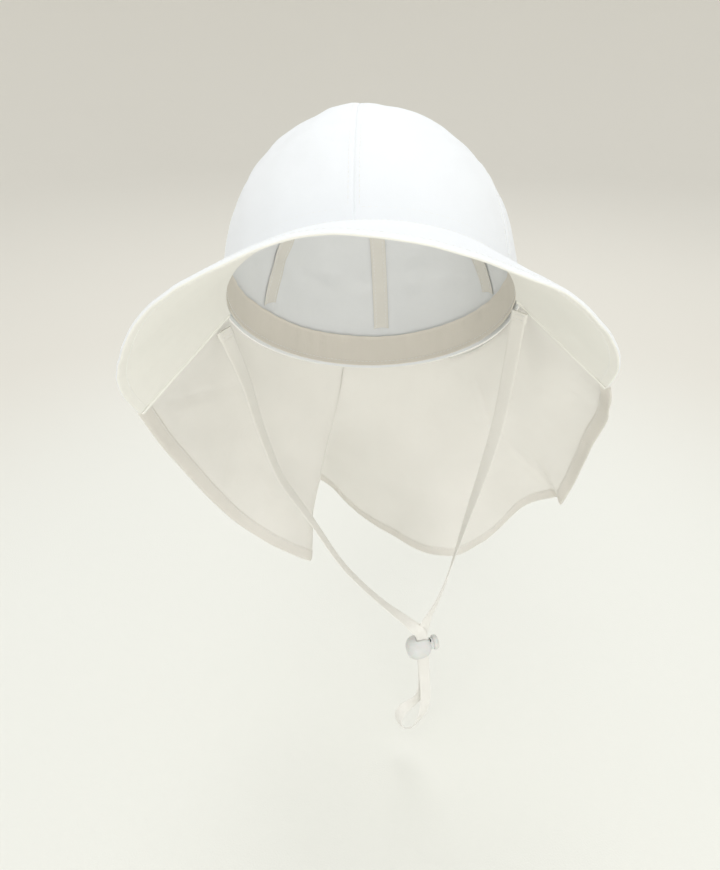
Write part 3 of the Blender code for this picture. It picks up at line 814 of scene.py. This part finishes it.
def brim(turn, out, under=0.0):
    drop = brim_drop(turn)
    reach = out * np.cos(drop) - under * np.sin(drop)
    return np.stack([
        (CROWN_HALF_WIDTH + reach) * np.sin(turn),
        -(CROWN_HALF_DEPTH + reach) * np.cos(turn),
        -out * np.sin(drop) - under * np.cos(drop),
    ], axis=-1)


def brim_wave(turn, out):
    """The soft brim's own unevenness, measured downwards."""
    share = np.clip(out / BRIM_WIDTH, 0.0, 1.2)
    where = np.stack([np.sin(turn) * 1.1, np.cos(turn) * 1.1, share * 0.8], axis=-1)
    lazy = bumpy(where, (0.30, 0.30, 0.8), 5.1) * BRIM_LAZY * share ** 1.5
    fine = bumpy(where, (0.09, 0.09, 0.3), 14.0) * BRIM_FINE * share
    hold = smooth_step(BRIM_END, BRIM_END - 0.2, np.abs(turn))
    return (lazy + fine) * hold


def brim_surface(turn, out, under):
    return brim(turn, out, under + brim_wave(turn, out)) @ HAT.T


def brim_layer(turn, upper):
    """One side of the brim as (outs, unders): flat, then round its share of the thin edge."""
    width = brim_width(turn)
    half = EDGE_THICK / 2
    side = -1.0 if upper else 1.0
    outs = []
    unders = []
    for share in np.linspace(0.0, 1.0, 40):
        out = -SEWN_IN + (width - half + SEWN_IN) * share
        from_edge = width - out
        thin = smooth_step(EDGE_THINS, half, from_edge)
        depth = (BRIM_THICK * (1.0 - thin) + EDGE_THICK * thin) / 2
        bead = EDGE_BEAD * smooth_step(EDGE_STITCH, EDGE_STITCH - 0.0012, from_edge)
        groove = EDGE_BEAD * np.exp(-((from_edge - EDGE_STITCH) / 0.0007) ** 2)
        outs.append(out)
        unders.append(BRIM_THICK / 2 + side * (depth + bead - groove))
    angles = np.linspace(0.0, EDGE_TURN, 8)[1:] if upper else np.linspace(math.pi, EDGE_TURN + 0.12, 7)[1:]
    for angle in angles:
        outs.append(width - half + half * math.sin(angle))
        unders.append(np.full_like(width, BRIM_THICK / 2 - (half + EDGE_BEAD) * math.cos(angle)))
    return np.array(outs).T, np.array(unders).T


def make_brim():
    turn = np.linspace(-BRIM_END, BRIM_END, 241)
    layers = (
        ("brim_upper_cloth", True, BRIM_COTTON, "brim_cotton", ["brim_top"]),
        ("brim_under_cloth", False, BRIM_UNDER_PAINTED_SHADE, "brim_lining", ["brim_under", "brim_interlining"]),
    )
    for name, upper, material, slot, nodes in layers:
        outs, unders = brim_layer(turn, upper)
        turns = np.broadcast_to(turn[:, None], outs.shape)
        grid = brim_surface(turns, outs, unders)
        inward = normals_of(grid)
        down = brim_surface(turns, outs, unders + 0.0001) - grid
        if np.sum(inward[:, 5] * down[:, 5]) * (1.0 if upper else -1.0) < 0:
            inward = -inward
        add_cloth(name, grid, LINING, material, nodes, inward=inward)
    at = np.linspace(-BRIM_END, BRIM_END, 500)
    edge = brim_width(at) - EDGE_STITCH
    spare = (BRIM_THICK - EDGE_THICK) / 2 * float(smooth_step(EDGE_THINS, EDGE_THICK / 2, EDGE_STITCH))
    return [
        brim_surface(at, edge, np.full_like(at, spare - THREAD_RADIUS * 0.2)),
        brim_surface(at, edge, np.full_like(at, BRIM_THICK - spare + THREAD_RADIUS * 0.2)),
        brim_surface(at, np.full_like(at, 0.0022), np.full_like(at, -THREAD_RADIUS * 0.2)),
    ]


def make_side_seams():
    """The ridges under the brim's two ends, where the flap is sewn to it."""
    outline = oval(SIDE_SEAM_HALF_WIDTH, SIDE_SEAM_HALF_HEIGHT, 12)
    for name, side in (("left", -1.0), ("right", 1.0)):
        turn = np.full(60, side * BRIM_END)
        out = np.linspace(0.0015, 1.0, 60) * (brim_width(turn) - 0.0006)
        centres = brim_surface(turn, out, BRIM_THICK + 0.0001)
        down = unit(brim_surface(turn, out, BRIM_THICK + 0.001) - centres)
        tangents = unit(np.gradient(centres, axis=0))
        across = np.cross(tangents, down)
        sweep(centres, (across, down), outline, "side_seam_" + name, BRIM_UNDER_PAINTED_SHADE, "hat")


# ---- flap ----
def flap_base(columns, rows):
    """The flap's outer surface from its seam on the crown (row 0) to its hem, and its turns."""
    where = np.linspace(0.0, len(FLAP_RIBS) - 1.0, columns)
    turns = np.radians([[rib[0]] for rib in FLAP_RIBS])
    ends = []
    for turn, end in FLAP_RIBS:
        round_turn = math.remainder(math.radians(turn), 2.0 * math.pi)
        corner = HAT @ brim(round_turn, brim_width(round_turn))
        ends.append(end if end else corner)
    turn = spline(turns, where)[:, 0]
    end = spline(ends, where)
    round_turn = np.remainder(turn + math.pi, 2.0 * math.pi) - math.pi
    start = brim(round_turn, np.full_like(turn, BRIM_ROOT)) @ HAT.T
    out = unit(brim(round_turn, np.full_like(turn, BRIM_WIDTH)) @ HAT.T - start)
    first, last = turns[0, 0], turns[-1, 0]
    free = smooth_step(0.0, FLAP_FREE_TURN, np.minimum(np.abs(turn - first), np.abs(turn - last)))[:, None]
    span = end - start
    length = np.linalg.norm(span, axis=1, keepdims=True)
    leave = out * length
    hang = np.hstack([np.zeros((columns, 2)), -length])
    arrive = span + (hang - span) * 0.5 * free
    v = np.linspace(0.0, 1.0, rows)[None, :, None]
    h0 = 2.0 * v ** 3 - 3.0 * v ** 2 + 1.0
    h1 = v ** 3 - 2.0 * v ** 2 + v
    h2 = v ** 3 - v ** 2
    grid = start[:, None] * h0 + leave[:, None] * h1 + end[:, None] * (1.0 - h0) + arrive[:, None] * h2
    return soften(grid, where), where


def soften(grid, where):
    """Evens out the folds of the flap's right side above the hem, where the cloth hangs in one sweep."""
    down = np.linspace(0.0, 1.0, grid.shape[1])[None, :]
    share = 0.9 * smooth_step(0.85, 0.15, down) * smooth_step(0.0, 0.03, down)
    share = (share * smooth_step(SOFTEN_FROM, SOFTEN_TO, where)[:, None])[1:-1, :, None]
    for _ in range(SOFTEN_STEPS):
        even = 0.5 * (grid[:-2] + grid[2:])
        grid = np.concatenate([grid[:1], grid[1:-1] + (even - grid[1:-1]) * share, grid[-1:]])
    return grid


def crease(grid, line, height, width):
    """A soft ridge along a line of points on the flap."""
    near = np.full(grid.shape[:2], 1.0)
    for start, end in zip(line, line[1:]):
        span = np.array(end) - np.array(start)
        along = np.clip((grid - start) @ span / (span @ span), 0.0, 1.0)
        near = np.minimum(near, np.linalg.norm(grid - start - along[..., None] * span, axis=-1))
    return height * np.exp(-(near / width) ** 2)


def flap_relief(grid, where):
    """Soft folds that run down the flap, and small ones near the sewn edge."""
    columns, rows = grid.shape[:2]
    v = np.broadcast_to(np.linspace(0.0, 1.0, rows)[None], (columns, rows))
    u = np.broadcast_to(where[:, None], (columns, rows))
    long_folds = bumpy(grid, (0.034, 0.034, 0.110), 2.2) * FLAP_LONG
    cross_folds = bumpy(grid, (0.060, 0.060, 0.030), 7.7) * FLAP_CROSS
    small = bumpy(grid, 0.016, 4.0) * FLAP_SMALL
    gathers = bumpy(grid, (0.007, 0.007, 0.04), 12.5) * FLAP_GATHERS * np.exp(-v / 0.12)
    ends = smooth_step(0.0, 0.9, u) * smooth_step(len(FLAP_RIBS) - 1.0, len(FLAP_RIBS) - 1.9, u)
    hold = smooth_step(0.0, 0.22, v)
    relief = (long_folds + cross_folds + small) * hold + gathers * smooth_step(0.0, 0.05, v)
    for line, height, width in FLAP_CREASES:
        relief = relief + crease(grid, line, height, width)
    return relief * ends


def make_flap():
    grid, where = flap_base(239, 71)
    inward = normals_of(grid)
    relief = flap_relief(grid, where)
    grid = grid + inward * relief[..., None]
    inward = normals_of(grid)
    flap = add_cloth("neck_flap", grid + inward * FLAP_INSET, FLAP_THICK, FLAP_COTTON,
                     ["flap"], inward=inward)
    hem, lines = make_hem(grid, inward)
    return flap, hem, lines


def make_hem(grid, inward):
    """The flap's turned hem: a folded band round the free edge."""
    edge = grid[:, -1]
    runs = travelled(grid[:, ::-1], axis=1)
    tangent = unit(np.gradient(edge, axis=0))
    down = unit(grid[:, -1] - grid[:, -4])
    slant = np.linalg.norm(np.cross(tangent, down), axis=1)
    band = HEM_WIDTH / np.maximum(slant, 0.45)

    def at(back, offset):
        rows = []
        for column, run, normal, distance in zip(grid[:, ::-1], runs, inward[:, ::-1], back):
            point = [np.interp(distance, run, column[:, k]) for k in range(3)]
            side = [np.interp(distance, run, normal[:, k]) for k in range(3)]
            rows.append(np.array(point) + unit(np.array(side)) * offset)
        return np.array(rows)

    middle = FLAP_INSET + FLAP_THICK / 2
    half = HEM_THICK / 2
    path = [(1.0, middle - FLAP_THICK / 2 - 0.0001), (0.93, middle - half)]
    path += [(share, middle - half) for share in (0.75, 0.5, 0.25, 0.10)]
    path += [(0.02, middle - half * 0.75)]
    rows = [at(band * share, offset) for share, offset in path]
    tip = grid[:, -1] + inward[:, -1] * middle + down * 0.0008
    rows.append(tip)
    rows += [at(band * share, 2.0 * middle - offset) for share, offset in path[::-1]]
    ring = np.stack(rows, axis=1)
    hem = add_cloth_tube("flap_hem", ring, HEM_COTTON)
    line_in = at(band * 0.88, middle + half + THREAD_RADIUS * 0.2)
    line_out = at(band * 0.88, middle - half - THREAD_RADIUS * 0.2)
    return hem, [line_in, line_out]


def add_cloth_tube(name, rings, material):
    """A closed bar from rings of points, one ring per row of the array."""
    count, sides = rings.shape[:2]
    across = travelled(rings, axis=1)
    along = np.broadcast_to(travelled(rings[:, 0])[:, None], across.shape)
    places = np.stack([across, along, np.zeros_like(across)], axis=2)
    return add_piece(name, rings.reshape(-1, 3), tube_faces(count, sides), material, "hat",
                     cloth=places.reshape(-1, 3))


# ---- chin strap ----
def strap_frames(samples):
    route = np.array([point[:3] for point in STRAP_ROUTE])
    turns = [[math.radians(point[3]), point[4]] for point in STRAP_ROUTE]
    where = np.linspace(0.0, len(route) - 1.0, 4000)
    line = spline(route, where)
    length = travelled(line)
    where = np.interp(np.linspace(0.0, length[-1], samples), length, where)
    centres = spline(route, where)
    tangents = unit(np.gradient(centres, axis=0))
    turn, dip = spline(turns, where).T
    hint = np.stack([np.cos(turn), np.sin(turn), dip], axis=1)
    width = unit(hint - tangents * np.sum(hint * tangents, axis=1, keepdims=True))
    return centres, width, np.cross(tangents, width), length[-1]


def tape_outline(width, thickness):
    """A flat tape's section: rounded, slightly thicker selvedges."""
    points = []
    half = width / 2
    for side in (1.0, -1.0):
        for share in np.linspace(-1.0, 1.0, 13):
            x = half * share * side
            edge = math.sqrt(max(1.0 - abs(share) ** 8, 0.0))
            selvedge = 1.0 + 0.12 * math.exp(-((abs(share) - 0.86) / 0.07) ** 2)
            points.append((x, side * -thickness / 2 * max(edge, 0.25) * selvedge * 0.9))
    return points


def make_strap():
    centres, width, face, length = strap_frames(420)
    strap = sweep(centres, (width, face), tape_outline(STRAP_WIDTH, STRAP_THICKNESS), "tape_strap",
                  STRAP_TAPE, "hat", ["chin_strap"])
    return strap, centres, width, face, length


def make_strap_ends(centres, width, face):
    """The tape's doubled ends, sewn down with two rows of stitches."""
    lines = []
    for name, first, second in (("strap_end_left", 0, 4), ("strap_end_right", -1, -5)):
        centre = centres[first]
        up = unit(centre - centres[second])
        rise = np.linspace(GAP, TAB_LENGTH, 9)
        path = centre + up * rise[:, None]
        u = np.repeat(width[first][None], len(path), axis=0)
        v = np.repeat(face[first][None], len(path), axis=0)
        outline = tape_outline(STRAP_WIDTH + 2.0 * TAB_MARGIN, 2.0 * STRAP_THICKNESS)
        node = "strap_tab_" + name.rsplit("_", 1)[1]
        sweep(path, (u, v), outline, name, STRAP_TAPE, "hat", [node])
        for height in TAB_STITCHES:
            for side in (-1.0, 1.0):
                start = centre + up * height + v[0] * side * STRAP_THICKNESS
                lines.append(np.array([start - u[0] * TAB_STITCH_REACH, start + u[0] * TAB_STITCH_REACH]))
    return lines


# ---- stitches ----
def make_stitches(name, lines, pitch=STITCH_PITCH):
    """Every stitch as a short, plump thread that dips in at both ends."""
    sides = 6
    shape = ((-1.0, 0.25), (-0.72, 0.85), (0.0, 1.0), (0.72, 0.85), (1.0, 0.25))
    points = []
    faces = []
    for line in lines:
        marks = resample(np.asarray(line), pitch)
        for a, b in zip(marks, marks[1:]):
            middle = (a + b) / 2
            ahead = unit(b - a)
            side = unit(np.cross(ahead, [0.31, 0.52, 0.79]))
            third = np.cross(ahead, side)
            base = len(points)
            for along, swell in shape:
                for x, y in oval(1.0, 1.0, sides):
                    points.append(middle + ahead * along * STITCH_LENGTH / 2
                                  + (side * x + third * y) * THREAD_RADIUS * swell)
            faces += band_faces(len(shape), sides, base)
            faces += [tuple(range(end, end + sides)) for end in (base, base + (len(shape) - 1) * sides)]
    return add_piece(name, points, faces, THREAD, "hat", smooth=SMOOTH_THREAD)


# ---- cord lock ----
def turned(name, profile, steps=64):
    """A solid turned about the lock's axis from (x, radius) points; the ends lie on the axis."""
    points = [Vector((profile[0][0], 0.0, 0.0))]
    for x, radius in profile[1:-1]:
        points += [Vector((x, y, z)) for y, z in oval(radius, radius, steps)]
    points.append(Vector((profile[-1][0], 0.0, 0.0)))
    faces = []
    last = 1 + (len(profile) - 3) * steps
    for k in range(steps):
        n = (k + 1) % steps
        faces.append((0, 1 + n, 1 + k))
        faces.append((last + k, last + n, len(points) - 1))
        for ring in range(len(profile) - 3):
            base = 1 + ring * steps
            faces.append((base + k, base + n, base + steps + n, base + steps + k))
    return add_solid(name, [LOCK @ point for point in points], faces)


def slot_cutter(low, high):
    """A bar through the lock along the strands, with rounded long edges."""
    reach = 2.0 * BALL_RADIUS
    outline = []
    for x, y, start in ((high, 1, 0), (low, 1, 90), (low, -1, 180), (high, -1, 270)):
        for step in range(5):
            angle = math.radians(start + 22.5 * step)
            side = 1.0 if x == high else -1.0
            outline.append((x - side * SLOT_CORNER + SLOT_CORNER * math.cos(angle),
                            y * (SLOT_HALF_HEIGHT - SLOT_CORNER) + SLOT_CORNER * math.sin(angle)))
    count = len(outline)
    points = [LOCK @ Vector((x, y, z)) for z in (-reach, reach) for x, y in outline]
    faces = [tuple(range(count)), tuple(range(count, 2 * count))]
    faces += [(k, (k + 1) % count, (k + 1) % count + count, k + count) for k in range(count)]
    return add_solid("slot", points, faces)


def cut_and_finish(piece, cutters, material, body, node):
    for cutter in cutters:
        modifier = piece.modifiers.new("cut", "BOOLEAN")
        modifier.operation = "DIFFERENCE"
        modifier.object = cutter
    bpy.context.view_layer.update()
    graph = bpy.context.evaluated_depsgraph_get()
    mesh = bpy.data.meshes.new_from_object(piece.evaluated_get(graph))
    piece.modifiers.clear()
    piece.data = mesh
    for cutter in cutters:
        bpy.data.objects.remove(cutter)
    return finish_piece(piece, material, body, [node], SMOOTH_PLASTIC)


def make_lock():
    centre = (BALL_BACK + BALL_FRONT) / 2
    half = (BALL_FRONT - BALL_BACK) / 2
    profile = [(BALL_BACK, 0.0)]
    for i in range(1, BALL_RINGS):
        t = math.cos(math.pi * i / BALL_RINGS)
        radius = BALL_RADIUS * (1.0 - abs(t) ** BALL_SQUARENESS) ** (1.0 / BALL_SQUARENESS)
        profile.append((centre - half * t, radius))
    profile.append((BALL_FRONT, 0.0))
    barrel = turned("lock_body", profile)
    bore = turned("bore", [
        (BORE_BACK, 0.0),
        (BORE_BACK, BORE_RADIUS - BORE_LIP),
        (BORE_BACK + BORE_LIP, BORE_RADIUS),
        (BALL_FRONT - BORE_LIP, BORE_RADIUS),
        (BALL_FRONT + BORE_LIP, BORE_RADIUS + 2 * BORE_LIP),
        (BALL_FRONT + BORE_LIP, 0.0),
    ])
    slot = slot_cutter(-SLOT_HALF_LENGTH, SLOT_HALF_LENGTH)
    body = cut_and_finish(barrel, [bore, slot], PLASTIC, "lock", "lock_barrel")
    button = turned("lock_button", button_profile())
    slot = slot_cutter(-SLOT_HALF_LENGTH, SLOT_HALF_LENGTH + PRESS_TRAVEL)
    button = cut_and_finish(button, [slot], PLASTIC, "button", "lock_plunger")
    return body, button, make_spring()


def button_profile():
    """A stem with a rounded cap that has a shallow finger dish."""
    profile = [
        (PLUNGER_BACK, 0.0),
        (PLUNGER_BACK, PLUNGER_RADIUS - CHAMFER),
        (PLUNGER_BACK + CHAMFER, PLUNGER_RADIUS),
        (CAP_BACK - FILLET, PLUNGER_RADIUS),
        (CAP_BACK, PLUNGER_RADIUS + FILLET),
        (CAP_BACK, CAP_RADIUS - CHAMFER),
        (CAP_BACK + CHAMFER, CAP_RADIUS),
    ]
    for step in range(9):
        angle = math.pi / 2 * step / 8
        profile.append((CAP_FRONT - CAP_ROUND + CAP_ROUND * math.sin(angle),
                        CAP_RADIUS - CAP_ROUND + CAP_ROUND * math.cos(angle)))
    dish = CAP_RADIUS - CAP_ROUND - FILLET
    for share in (0.95, 0.8, 0.6, 0.4, 0.2):
        profile.append((CAP_FRONT - DISH_DEPTH * (1.0 - share ** 2), dish * share))
    profile.append((CAP_FRONT - DISH_DEPTH, 0.0))
    return profile


def make_spring():
    low = BORE_BACK + SPRING_WIRE + GAP
    high = PLUNGER_BACK - SPRING_WIRE - GAP
    count = 150
    angle = np.linspace(0.0, 2.0 * math.pi * SPRING_TURNS, count)
    local = np.stack([np.linspace(low, high, count), SPRING_RADIUS * np.cos(angle),
                      SPRING_RADIUS * np.sin(angle)], axis=1)
    turn = np.array(LOCK.to_3x3())
    centres = local @ turn.T + np.array(LOCK.translation)
    tangents = unit(np.gradient(centres, axis=0))
    axis = turn @ np.array([1.0, 0.0, 0.0])
    u = unit(axis - tangents * (tangents @ axis)[:, None])
    v = np.cross(tangents, u)
    spring = sweep(centres, (u, v), oval(SPRING_WIRE, SPRING_WIRE, 10), "coil_spring", STEEL, "lock",
                   ["lock_spring"], cloth=False)
    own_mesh(spring)
    return spring


# ---- everything ----
make_camera()
make_stage()
CROWN_COTTON = cloth_material("crown_cotton", (0.885, 0.905, 0.925), 0.00040, 0.00006)
BRIM_COTTON = cloth_material("brim_cotton", (0.885, 0.905, 0.925), 0.00040, 0.00006)
# painted shade: the brim's underside is the same white cotton as its top, tinted cream to stand in for the
# warm shade under the brim
BRIM_UNDER_PAINTED_SHADE = cloth_material("brim_lining", (0.91, 0.905, 0.86), 0.00040, 0.00006)
FLAP_COTTON = cloth_material("flap_cotton", (0.93, 0.92, 0.89), 0.00032, 0.00004, through=0.45)
HEM_COTTON = cloth_material("hem_cotton", (0.96, 0.94, 0.90), 0.00032, 0.00004, through=0.42)
SWEATBAND_COTTON = cloth_material("sweatband_cotton", (0.80, 0.76, 0.69), 0.00050, 0.00008)
TAPE_COTTON = cloth_material("bias_tape_cotton", (0.84, 0.82, 0.77), 0.00036, 0.00005)
STRAP_TAPE = cloth_material("strap_tape", (0.90, 0.885, 0.84), 0.00110, 0.00018, mottling=0.08, ribs=True)
THREAD = thread_material()
PLASTIC = plastic_material()
STEEL = steel_material()

strap, strap_centres, strap_width, strap_face, strap_length = make_strap()
lock_pieces = make_lock()
strap_lines = make_strap_ends(strap_centres, strap_width, strap_face)
make_crown()
tape_lines = make_seam_tapes()
band_lines = make_sweatband()
brim_lines = make_brim()
make_side_seams()
flap, hem, hem_lines = make_flap()
make_stitches("crown_stitching", crown_stitch_lines())
make_stitches("inside_stitching", tape_lines + band_lines)
make_stitches("brim_stitching", brim_lines)
make_stitches("flap_stitching", hem_lines)
make_stitches("strap_stitching", strap_lines, pitch=TAB_STITCH_PITCH)

print("strap length", round(strap_length, 4))
